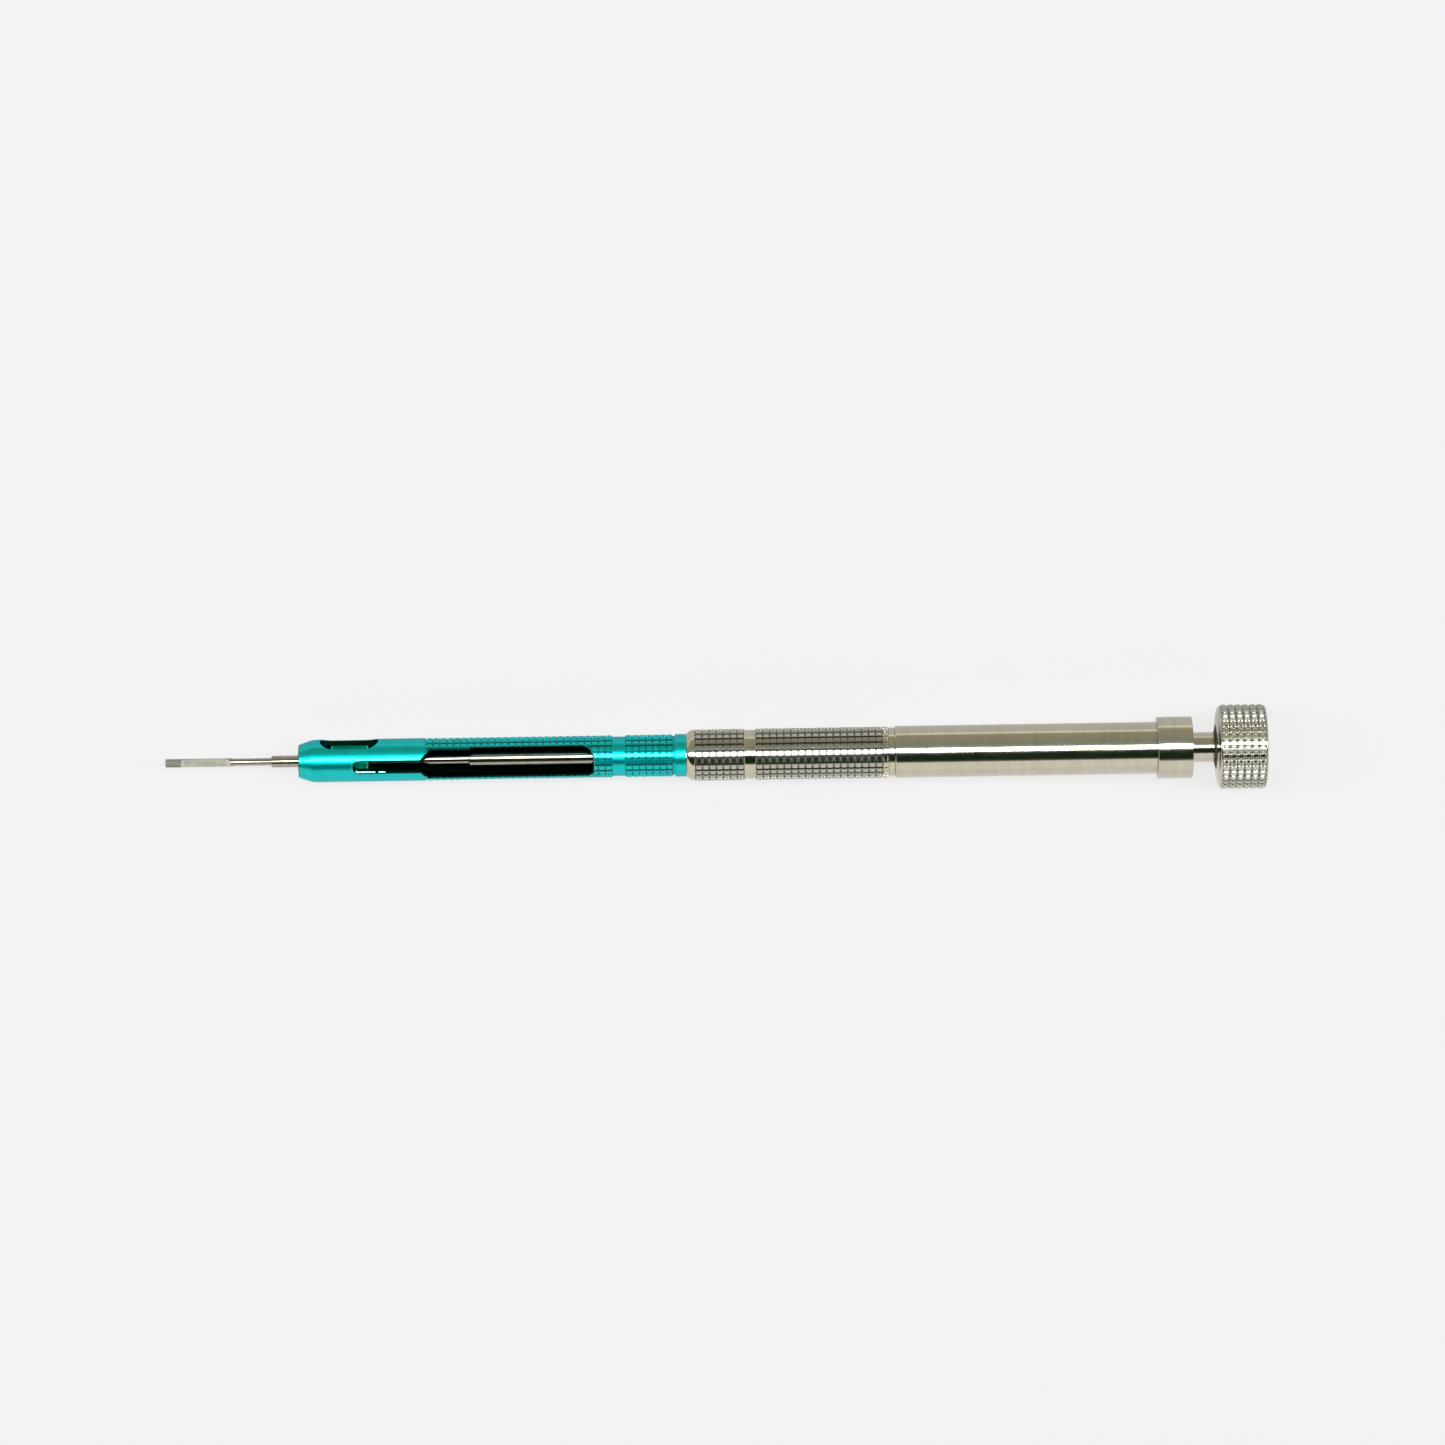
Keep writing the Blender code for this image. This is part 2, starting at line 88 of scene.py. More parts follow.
# Knurls: how many rows run round each piece, and the roll angle of one row's crest
BARREL_ROWS, BARREL_ROW_TURN = 20, math.radians(87)
GRIP_ROWS, GRIP_ROW_TURN = 24, math.radians(89)
KNOB_ROWS, KNOB_ROW_TURN = 40, math.radians(85)
BARREL_RINGS_LONG, BARREL_RINGS_SHORT = 27, 6
GRIP_RINGS_SHORT, GRIP_RINGS_LONG = 7, 18
KNOB_RINGS = 6
STEPS_PER_RING = 8
# How steeply a ring groove drops, and how sharply the two kinds of groove meet
RING_SHARPNESS = 1.9
BLEND = 3.0
# Where a lengthwise groove's wall starts and ends, from 0 on a row's crest to 1 in its middle
FINE_WALL = (0.68, 0.75)
KNOB_WALL = (0.5, 0.9)
BARREL_RING_DEPTH, BARREL_ROW_DEPTH = 0.17 * MM, 0.19 * MM
GRIP_RING_DEPTH, GRIP_ROW_DEPTH = 0.17 * MM, 0.2 * MM
KNOB_RING_DEPTH, KNOB_ROW_DEPTH = 0.24 * MM, 0.22 * MM

# Floor: how much light it scatters, its own glow to the camera, and the glow that the metal mirrors
# from its near and far side
FLOOR_HALF = 3.0
FLOOR_ALBEDO = 0.08
FLOOR_GLOW = 0.758
FLOOR_GLOW_NEAR, FLOOR_GLOW_FAR = 0.7, 0.5

# Strip light over the tool, in metres
STRIP_STRENGTH = 10.0
STRIP_LENGTH, STRIP_WIDTH = 6.5, 0.33
STRIP_HEIGHT = 1.15
STRIP_LEAN = math.radians(5)

# Studio surround: colours by roll angle about the tool's axis, in degrees, and what the camera sees
SURROUND_BANDS = [
    (-180, (0.95, 0.97, 0.95)), (-86, (1.0, 1.0, 0.9)), (-76, (0.42, 0.38, 0.28)),
    (-38, (0.34, 0.34, 0.28)), (-30, (0.28, 0.34, 0.3)), (-14, (0.34, 0.4, 0.37)),
    (4, (0.3, 0.34, 0.31)), (11, (0.01, 0.025, 0.012)), (38, (0.012, 0.028, 0.014)),
    (46, (0.06, 0.08, 0.05)), (52, (0.92, 0.91, 0.86)), (110, (0.9, 0.9, 0.88)),
    (180, (0.8, 0.8, 0.78)),
]
BACKDROP = (0.9, 0.9, 0.9)

# Camera, straight above the tool
CAMERA_PLACE = (1.12 * MM, 4.83 * MM, 0.96)
CAMERA_ROLL = math.radians(-0.9)
CAMERA_LENS, CAMERA_SENSOR = 159.04, 36


def at(distance):
    """X of a distance in millimetres from the tip."""
    return TIP_X + distance * MM


# Mesh building


def soft(points, radius=0.06 * MM, steps=3):
    """An open outline with its inner corners rounded."""
    result = [points[0]]
    for before, corner, after in zip(points, points[1:], points[2:]):
        a, c, b = Vector(before), Vector(corner), Vector(after)
        reach = min(radius, (a - c).length * 0.45, (b - c).length * 0.45)
        start = c + (a - c).normalized() * reach
        end = c + (b - c).normalized() * reach
        for i in range(steps + 1):
            t = i / steps
            point = start * (1 - t) ** 2 + c * (2 * t * (1 - t)) + end * t * t
            result.append((point.x, point.y))
    result.append(points[-1])
    return result


def divided(points, spacing):
    """The outline with long straight runs split, so that shading stays even beside a cut."""
    result = [points[0]]
    for (x0, r0), (x1, r1) in zip(points, points[1:]):
        pieces = max(1, math.ceil(math.hypot(x1 - x0, r1 - r0) / spacing))
        for i in range(1, pieces + 1):
            result.append((x0 + (x1 - x0) * i / pieces, r0 + (r1 - r0) * i / pieces))
    return result


def row_angles(rows, turn, wall):
    """Angles round a knurled piece, with more of them where the grooves' walls are."""
    start, end = wall
    half = np.array([0, 0.5 * start, 0.9 * start, start, (start + end) / 2, end])
    whole = np.concatenate([half, [1.0], 2 - half[:0:-1]])
    return turn + (2 * np.arange(rows)[:, None] + whole[None, :]).ravel() * np.pi / rows


def across_row(angles, rows, turn):
    """How far each angle lies from its row's crest: 0 on the crest, 1 in the groove's middle."""
    return np.abs(2 * np.mod((angles - turn) * rows / (2 * np.pi) + 0.5, 1.0) - 1)


def along_ring(x, span, rings):
    """The same along the axis, between ring grooves."""
    return np.abs(2 * np.mod((x - span[0]) / (span[1] - span[0]) * rings, 1.0) - 1)


def knurl(span, rings, rows, turn, wall, radius, ring_depth, row_depth):
    """Beads between ring grooves and lengthwise grooves, as rings of radii over a span of x."""
    across = across_row(row_angles(rows, turn, wall), rows, turn)
    row_drop = row_depth * np.clip((across - wall[0]) / (wall[1] - wall[0]), 0, 1)
    result = []
    count = rings * STEPS_PER_RING
    for i in range(count + 1):
        x = span[0] + (span[1] - span[0]) * i / count
        ring_drop = ring_depth * along_ring(x, span, rings) ** RING_SHARPNESS
        drop = (row_drop ** BLEND + ring_drop ** BLEND) ** (1 / BLEND)
        result.append((x, radius - drop))
    return result


def mark_painted_groove_shade(piece, knurls, rows, turn, wall, reach, row_shade, ring_shade):
    """Stores how much painted shade each point takes: darker down a groove, and darkest where two
    grooves cross.

    Only points farther than reach from the axis are marked, so the bore stays bright."""
    mesh = piece.data
    places = np.empty(len(mesh.vertices) * 3)
    mesh.vertices.foreach_get("co", places)
    x, y, z = places.reshape(-1, 3).T
    across = across_row(np.arctan2(z, y), rows, turn)
    row = np.clip((across - wall[0] + 0.01) / (wall[1] - wall[0]), 0, 1)
    dark = np.zeros(len(x))
    for span, rings in knurls:
        ring = np.clip((along_ring(x, span, rings) - 0.5) / 0.5, 0, 1)
        here = (x >= span[0] - 0.01 * MM) & (x <= span[1] + 0.01 * MM) & (np.hypot(y, z) > reach)
        lines = np.maximum(row_shade * row, ring_shade * ring)
        shade_with_crossings = lines + (1 - lines) * row * ring
        dark[here] = shade_with_crossings[here]
    mesh.attributes.new("groove", "FLOAT", "POINT").data.foreach_set("value", dark)


def paint_faces(piece, material, low=-1.0, high=1.0, outside=0.0, inside=1.0):
    """Gives another material to the faces between two x and between two distances from the axis."""
    mesh = piece.data
    if mesh.materials.find(material.name) < 0:
        mesh.materials.append(material)
    index = mesh.materials.find(material.name)
    for face in mesh.polygons:
        far = max(math.hypot(mesh.vertices[v].co.y, mesh.vertices[v].co.z) for v in face.vertices)
        if low <= face.center.x <= high and outside <= far < inside:
            face.material_index = index


def piece_from(name, bm, body, material):
    """An object made of a finished mesh; a cutter has no body and no slot."""
    mesh = bpy.data.meshes.new(name)
    bm.to_mesh(mesh)
    bm.free()
    mesh.shade_smooth()
    mesh.set_sharp_from_angle(angle=SHARP_ANGLE)
    mesh.materials.append(material)
    obj = bpy.data.objects.new(name, mesh)
    bpy.context.scene.collection.objects.link(obj)
    if body:
        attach(obj, body)
    return obj


def spun_mesh(rings, steps):
    """Closed skin through rings of (x, radius), where a radius is a number or one value per step.

    Steps is their count, or the angles themselves."""
    bm = bmesh.new()
    angles = 2 * np.pi * np.arange(steps) / steps if np.isscalar(steps) else steps
    steps = len(angles)
    cosines, sines = np.cos(angles), np.sin(angles)
    loops = []
    for x, radius in rings:
        if np.isscalar(radius) and radius == 0:
            loops.append([bm.verts.new((x, 0, 0))])
            continue
        radii = np.broadcast_to(radius, (steps,))
        ys, zs = radii * cosines, radii * sines
        loops.append([bm.verts.new((x, ys[i], zs[i])) for i in range(steps)])
    for here, there in zip(loops, loops[1:] + loops[:1]):
        if len(here) == 1 and len(there) == 1:
            continue
        for i in range(steps):
            j = (i + 1) % steps
            if len(here) == 1:
                bm.faces.new((here[0], there[j], there[i]))
            elif len(there) == 1:
                bm.faces.new((here[i], here[j], there[0]))
            else:
                bm.faces.new((here[i], here[j], there[j], there[i]))
    bmesh.ops.recalc_face_normals(bm, faces=bm.faces)
    return bm


def spun(name, rings, body, material, steps=TURNED_STEPS):
    """A turned piece on the tool's axis."""
    return piece_from(name, spun_mesh(rings, steps), body, material)


def ring_piece(name, x0, x1, inner, outer, body, material, edge=0.08 * MM):
    """A plain ring with rounded edges."""
    outline = soft([((x0 + x1) / 2, inner), (x0, inner), (x0, outer), (x1, outer), (x1, inner),
                    ((x0 + x1) / 2 + 1e-6, inner)], edge)
    return spun(name, outline, body, material)


def arc(cx, cy, radius, start, end, steps=8):
    """Points along a circle, between two angles in degrees."""
    result = []
    for i in range(steps + 1):
        a = math.radians(start + (end - start) * i / steps)
        result.append((cx + radius * math.cos(a), cy + radius * math.sin(a)))
    return result


def flared_cutter(name, outline, radius, chamfer, glint_lip, floor, turn):
    """A window's cutter for a tube's wall: walls and a chamfer painted dark as shade, and a thin
    lip painted pale as a glint.
    """
    count = len(outline)
    ahead_of = outline[1:] + outline[:1]
    area = sum(x0 * y1 - x1 * y0 for (x0, y0), (x1, y1) in zip(outline, ahead_of))
    turn_sign = 1 if area > 0 else -1
    rise = 0.7 * MM
    outs = (-chamfer, -chamfer, 0, glint_lip + rise, glint_lip + rise)
    levels = [[], [], [], [], []]
    for i, (x, y) in enumerate(outline):
        run = (Vector(ahead_of[i]) - Vector(outline[i - 1])).normalized()
        normal = Vector((run.y, -run.x)) * turn_sign
        skin = math.sqrt(max(radius ** 2 - y ** 2, (0.3 * radius) ** 2))
        heights = (floor, skin - glint_lip - chamfer, skin - glint_lip, skin + rise, radius + 2 * rise)
        for level, out, height in zip(levels, outs, heights):
            level.append((x + normal.x * out, y + normal.y * out, height))
    bm = bmesh.new()
    loops = [[bm.verts.new(point) for point in level] for level in levels]
    bm.faces.new(loops[0])
    bm.faces.new(loops[-1])
    # Walls and chamfer take the painted shade, the lip and above it the painted glint
    for here, there, painted_slot in zip(loops, loops[1:], (0, 0, 1, 1)):
        for i in range(count):
            j = (i + 1) % count
            bm.faces.new((here[i], here[j], there[j], there[i])).material_index = painted_slot
    bmesh.ops.recalc_face_normals(bm, faces=bm.faces)
    bmesh.ops.rotate(bm, verts=bm.verts, matrix=Matrix.Rotation(turn, 3, "X"))
    cutter = piece_from(name, bm, None, BORE_SHADE)
    cutter.data.materials.append(PAINTED_GLINT)
    return cutter


def block_cutter(name, start, end, across, height, material):
    """A block between two distances from the tip, in millimetres."""
    bm = bmesh.new()
    bmesh.ops.create_cube(bm, size=1.0)
    lows, highs = Vector((start, across[0], height[0])), Vector((end, across[1], height[1]))
    bmesh.ops.scale(bm, verts=bm.verts, vec=(highs - lows) * MM)
    bmesh.ops.translate(bm, verts=bm.verts, vec=(highs + lows) / 2 * MM + Vector((TIP_X, 0, 0)))
    return piece_from(name, bm, None, material)


def cut(piece, cutter):
    """Cuts and applies, then drops the cutter."""
    modifier = piece.modifiers.new("cut", "BOOLEAN")
    modifier.operation = "DIFFERENCE"
    modifier.solver = "EXACT"
    modifier.material_mode = "TRANSFER"
    modifier.object = cutter
    evaluated = piece.evaluated_get(bpy.context.evaluated_depsgraph_get())
    mesh = bpy.data.meshes.new_from_object(evaluated)
    piece.modifiers.clear()
    old = piece.data
    piece.data = mesh
    mesh.name = old.name
    bpy.data.meshes.remove(old)
    bpy.data.objects.remove(cutter)
    mesh.shade_smooth()
    mesh.set_sharp_from_angle(angle=SHARP_ANGLE)


# Materials


class Nodes:
    """A material's node tree, with short calls to add nodes and links."""

    def __init__(self, name):
        self.material = bpy.data.materials.new(name)
        self.material.use_nodes = True
        self.tree = self.material.node_tree
        self.shader = self.tree.nodes["Principled BSDF"]

    def add(self, kind, **values):
        node = self.tree.nodes.new(kind)
        for key, value in values.items():
            setattr(node, key, value)
        return node

    def link(self, source, target):
        self.tree.links.new(source, target)

    def point(self, stretch):
        """Object coordinates stretched along each axis."""
        place = self.add("ShaderNodeTexCoord")
        mapping = self.add("ShaderNodeMapping")
        mapping.inputs["Scale"].default_value = stretch
        self.link(place.outputs["Object"], mapping.inputs["Vector"])
        return mapping.outputs["Vector"]

    def noise(self, stretch, scale, detail=3.0, roughness=0.55):
        node = self.add("ShaderNodeTexNoise")
        node.inputs["Scale"].default_value = scale
        node.inputs["Detail"].default_value = detail
        node.inputs["Roughness"].default_value = roughness
        self.link(self.point(stretch), node.inputs["Vector"])
        return node.outputs["Fac"]

    def spread(self, source, low, high, from_low=0.3, from_high=0.7):
        node = self.add("ShaderNodeMapRange")
        node.inputs["From Min"].default_value = from_low
        node.inputs["From Max"].default_value = from_high
        node.inputs["To Min"].default_value = low
        node.inputs["To Max"].default_value = high
        self.link(source, node.inputs["Value"])
        return node.outputs["Result"]

    def blend_colours(self, factor, first, second):
        node = self.add("ShaderNodeMix", data_type="RGBA")
        node.inputs["A"].default_value = (*first, 1)
        node.inputs["B"].default_value = (*second, 1)
        self.link(factor, node.inputs["Factor"])
        return node.outputs["Result"]

    def painted_groove_shade(self, colour, groove):
        """Fades a colour to a darker one down in the knurl's grooves, as painted shade."""
        depth = self.add("ShaderNodeAttribute", attribute_name="groove")
        node = self.add("ShaderNodeMix", data_type="RGBA")
        node.inputs["B"].default_value = (*groove, 1)
        self.link(depth.outputs["Fac"], node.inputs["Factor"])
        self.link(colour, node.inputs["A"])
        return node.outputs["Result"]

    def rougher_grooves(self, roughness, groove):
        """Raises a roughness to another value down in the knurl's grooves."""
        depth = self.add("ShaderNodeAttribute", attribute_name="groove")
        node = self.add("ShaderNodeMix")
        node.inputs["B"].default_value = groove
        self.link(depth.outputs["Fac"], node.inputs["Factor"])
        self.link(roughness, node.inputs["A"])
        return node.outputs["Result"]

    def bump(self, height, distance):
        node = self.add("ShaderNodeBump")
        node.inputs["Distance"].default_value = distance
        node.inputs["Strength"].default_value = 1.0
        self.link(height, node.inputs["Height"])
        self.link(node.outputs["Normal"], self.shader.inputs["Normal"])

    def set(self, **values):
        for key, value in values.items():
            self.shader.inputs[key.replace("_", " ")].default_value = value


def turned_metal(name, light, dark, rough_low, rough_high, line_depth=0.0006 * MM, groove=None):
    """Bare metal with fine turning lines round the axis and faint handling marks.

    A knurled one also has painted shade down its grooves."""
    nodes = Nodes(name)
    lines = nodes.noise((1.0, 0.012, 0.012), 9000, 4.0, 0.65)
    broad = nodes.noise((1.0, 0.25, 0.25), 700, 3.0)
    marks = nodes.noise((0.35, 1.0, 1.0), 1400, 4.0)
    mix = nodes.add("ShaderNodeMath", operation="ADD")
    half = nodes.add("ShaderNodeMath", operation="MULTIPLY")
    half.inputs[1].default_value = 0.5
    nodes.link(broad, mix.inputs[0])
    nodes.link(lines, mix.inputs[1])
    nodes.link(mix.outputs[0], half.inputs[0])
    factor = nodes.spread(half.outputs[0], 0, 1, 0.35, 0.65)
    colour = nodes.blend_colours(factor, dark, light)
    # Painted shade down the knurl's grooves
    if groove:
        colour = nodes.painted_groove_shade(colour, groove)
    nodes.link(colour, nodes.shader.inputs["Base Color"])
    roughness = nodes.spread(marks, rough_low, rough_high)
    if groove:
        roughness = nodes.rougher_grooves(roughness, 0.5)
    nodes.link(roughness, nodes.shader.inputs["Roughness"])
    nodes.bump(lines, line_depth)
    nodes.set(Metallic=1.0)
    return nodes.material


def anodised(name, deep, bright, rough_low, rough_high, coat, groove):
    """Coloured oxide over turned metal: a soft coloured lobe under a thin sharp coat."""
    nodes = Nodes(name)
    lines = nodes.noise((1.0, 0.012, 0.012), 2500, 2.0, 0.5)
    clouds = nodes.noise((1.0, 1.0, 1.0), 420, 3.0)
    colour = nodes.blend_colours(nodes.spread(clouds, 0, 1), deep, bright)
    # Painted shade down the knurl's grooves
    nodes.link(nodes.painted_groove_shade(colour, groove), nodes.shader.inputs["Base Color"])
    roughness = nodes.spread(lines, rough_low, rough_high)
    nodes.link(nodes.rougher_grooves(roughness, 0.45), nodes.shader.inputs["Roughness"])
    nodes.bump(lines, 0.0003 * MM)
    nodes.set(Metallic=1.0, Coat_Weight=coat, Coat_Roughness=0.03, Coat_IOR=1.5,
              Specular_Tint=(0, 0.6, 0.68, 1))
    return nodes.material


def plain_solid(name, first, second, roughness, grain, depth):
    """Moulded plastic or rubber with a fine grain."""
    nodes = Nodes(name)
    cloud = nodes.noise((1.0, 1.0, 1.0), grain, 4.0)
    colour = nodes.blend_colours(nodes.spread(cloud, 0, 1), first, second)
    nodes.link(colour, nodes.shader.inputs["Base Color"])
    sheen = nodes.spread(cloud, roughness - 0.08, roughness + 0.08)
    nodes.link(sheen, nodes.shader.inputs["Roughness"])
    nodes.bump(cloud, depth)
    nodes.set(Metallic=0.0)
    return nodes.material


# Painted shade down the knurls' grooves: near black on the steel, dark teal on the bore's teal
STEEL_GROOVE_SHADE, TEAL_GROOVE_SHADE = (0.03, 0.03, 0.025), (0.0, 0.02, 0.02)
TEAL = anodised("teal_anodising", (0.0, 0.55, 0.55), (0.0, 0.64, 0.64),
                0.28, 0.33, 0.42, (0.0, 0.08, 0.08))
# Pale teal painted on the windows' lips, the slot's ledges and the bush's chamfers as glints of the
# strip light
PAINTED_GLINT = anodised("teal_painted_glint", (0.12, 0.6, 0.6), (0.2, 0.72, 0.72),
                0.2, 0.3, 0.3, (0.1, 0.3, 0.3))
# Teal darkened to near black as painted shade, for the bore and the windows' walls and chamfers
BORE_SHADE = anodised("teal_bore_shade", (0.0, 0.03, 0.02), (0.0, 0.06, 0.04), 0.3, 0.4, 0.0, TEAL_GROOVE_SHADE)
# Teal darkened as painted shade, for the bush inside the barrel
BUSH_SHADE = anodised("teal_bush_shade", (0.0, 0.22, 0.14), (0.0, 0.32, 0.22), 0.3, 0.4, 0.0, TEAL_GROOVE_SHADE)
STEEL = turned_metal("turned_steel", (0.66, 0.62, 0.51), (0.56, 0.52, 0.42), 0.08, 0.13)
BEADED = turned_metal("beaded_steel", (0.55, 0.54, 0.46), (0.45, 0.45, 0.38), 0.14, 0.2,
                      groove=STEEL_GROOVE_SHADE)
KNOB_BEADED = turned_metal("beaded_knob_steel", (0.68, 0.66, 0.58), (0.56, 0.55, 0.48), 0.14, 0.2,
                           groove=STEEL_GROOVE_SHADE)
THIN_STEEL = turned_metal("drawn_steel", (0.46, 0.43, 0.37), (0.34, 0.32, 0.27), 0.08, 0.14)
BRIGHT = turned_metal("polished_steel", (0.7, 0.68, 0.6), (0.6, 0.58, 0.5), 0.05, 0.1)
MILLED = turned_metal("milled_flat", (0.8, 0.78, 0.66), (0.5, 0.5, 0.42), 0.4, 0.5, 0.002 * MM)
BRONZE = turned_metal("bronze", (0.62, 0.42, 0.2), (0.48, 0.31, 0.14), 0.18, 0.3)
GROUND = plain_solid("ground_block", (0.12, 0.125, 0.1), (0.16, 0.165, 0.135),
                     0.7, 1500, 0.003 * MM)
# Near black painted shade, for the hollow round the knob's stem
SHADED = plain_solid("painted_shadow_face", (0.012, 0.012, 0.01), (0.022, 0.02, 0.016),
                     0.6, 1500, 0.002 * MM)
RUBBER = plain_solid("black_rubber", (0.012, 0.012, 0.012), (0.03, 0.03, 0.03),
                     0.6, 2500, 0.004 * MM)
PLASTIC = plain_solid("white_plastic", (0.7, 0.7, 0.66), (0.78, 0.78, 0.75), 0.4, 1800, 0.002 * MM)
BY_SLOT = {
    "teal_anodising": TEAL, "turned_steel": STEEL, "polished_steel": BRIGHT,
    "bronze": BRONZE, "black_rubber": RUBBER, "white_plastic": PLASTIC,
}


def finish_cad_nodes():
    """Every carried-over CAD node takes its slot's material."""
    slots = {row["node"]: row["material_slot"] for row in frame["record"]["subparts"]}
    for name, obj in frame["nodes"].items():
        obj.data.materials.clear()
        obj.data.materials.append(BY_SLOT[slots[name]])


# Held pieces


def keyhole_outline():
    """Narrow slot, 45 degree flares, then the wide window with its step on the far side."""
    slot_low, slot_high = 1.1 * MM, 0.955 * MM
    window_low, window_mid, window_high = 2.22 * MM, 2.3 * MM, 2.55 * MM
    low_round, high_round, step_round = 1.05 * MM, 1.9 * MM, 0.25 * MM
    rear, neck = at(64.5), at(38.35)
    end_round = (slot_low + slot_high) / 2
    outline = arc(rear - low_round, low_round - window_low, low_round, 0, -90)
    outline += [(neck + window_low - slot_low, -window_low), (neck, -slot_low)]
    outline += arc(at(28.2) + end_round, (slot_high - slot_low) / 2, end_round, -90, -270, 20)
    outline += [(neck, slot_high), (neck + window_mid - slot_high, window_mid)]
    outline += arc(at(45.7) + step_round, window_mid, step_round, 180, 90, 6)
    outline += arc(rear - high_round, window_high - high_round, high_round, 90, 0, 10)
    return divided(outline + outline[:1], OUTLINE_SPACING)[:-1]


def side_outline():
    """Short window with round ends."""
    half = 1.9 * MM
    outline = arc(at(23.25) + half, 0, half, 90, 270, 24)
    outline += arc(at(32.1) - half, 0, half, -90, 90, 24)
    return divided(outline + outline[:1], OUTLINE_SPACING)[:-1]


def make_barrel():
    """Barrel with three beaded bands, the keyhole window and the side window."""
    nose_hole, front_bore, rear_bore = 1.6 * MM, 2.3 * MM, 2.45 * MM
    spacing = 0.5 * MM
    edge_r = BARREL_R - BARREL_RING_DEPTH
    first, second, last = (at(39.27), at(67.18)), (at(69.17), at(75.35)), (at(75.4), at(76.22))
    bands = ((first, BARREL_RINGS_LONG), (second, BARREL_RINGS_SHORT), (last, 1))
    waist_r = BARREL_R - 0.3 * MM
    front = [
        (at(31.95), rear_bore), (at(31.95), front_bore), (at(22.6), front_bore),
        (at(22.6), nose_hole), (NOSE_X, nose_hole), (NOSE_X, 2.475 * MM),
        (at(21.9), 3.11 * MM), (at(22.65), BARREL_R), (at(39.05), BARREL_R),
        (at(39.1), BARREL_R - 0.12 * MM), (at(39.25), edge_r),
    ]
    middle = [
        (at(67.2), edge_r), (at(67.25), BARREL_BAND_R),
        (at(69.1), BARREL_BAND_R), (at(69.15), edge_r),
    ]
    rear = [
        (at(76.25), edge_r), (at(76.33), waist_r), (at(76.55), waist_r),
        (at(76.65), BARREL_R), (BARREL_END, BARREL_R), (BARREL_END, rear_bore),
        (at(66.0), rear_bore),
    ]
    rows = (BARREL_ROWS, BARREL_ROW_TURN, FINE_WALL)
    beads = (*rows, BARREL_R, BARREL_RING_DEPTH, BARREL_ROW_DEPTH)
    rings = divided(soft(front, 0.12 * MM), spacing)
    rings += knurl(*bands[0], *beads)
    rings += soft(middle)
    rings += knurl(*bands[1], *beads)
    rings += knurl(*bands[2], *beads)
    rings += soft(rear, 0.08 * MM)
    rings += divided([(at(66.0), rear_bore), (at(32.0), rear_bore)], spacing)[1:]
    barrel = spun("barrel_shell", rings, "handle", TEAL, row_angles(*rows))
    # Painted shade down the knurl's grooves
    mark_painted_groove_shade(barrel, bands, *rows, 2.7 * MM, 0.85, 0.75)
    # The bore painted dark as shade
    paint_faces(barrel, BORE_SHADE, inside=2.6 * MM)
    glint_lip, floor = 0.09 * MM, 0.5 * MM
    keyhole_chamfer, side_chamfer = 0.2 * MM, 0.1 * MM
    cut(barrel, flared_cutter("keyhole", keyhole_outline(), BARREL_R, keyhole_chamfer, glint_lip, floor,
                              KEYHOLE_TURN))
    cut(barrel, flared_cutter("side_window", side_outline(), BARREL_R, side_chamfer, glint_lip, floor,
                              SIDE_TURN))
    # Two ledges in the keyhole's lower wall, painted pale as the strip light's reflection
    ledge_across, ledge_height = (-1.86, -1.2), (2.1, 4.1)
    for start, end in ((28.75, 31.6), (32.1, 33.1)):
        cut(barrel, block_cutter("slot_ledge", start, end, ledge_across, ledge_height, PAINTED_GLINT))
    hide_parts("nose_barrel")


def make_nose_bush():
    """Bush painted dark teal as shade, with a chamfer at each end painted pale as a glint."""
    start, end = at(24.9), at(30.6)
    chamfer, margin, rim = 0.22 * MM, 0.01 * MM, 2.0 * MM
    bush = ring_piece("nose_bush", start, end, 1.1 * MM, 2.25 * MM, "handle",
                      BUSH_SHADE, chamfer)
    # The chamfers painted pale as glints
    paint_faces(bush, PAINTED_GLINT, start + margin, start + chamfer, outside=rim)
    paint_faces(bush, PAINTED_GLINT, end - chamfer, end - margin, outside=rim)
    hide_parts("nose_guide_bush")


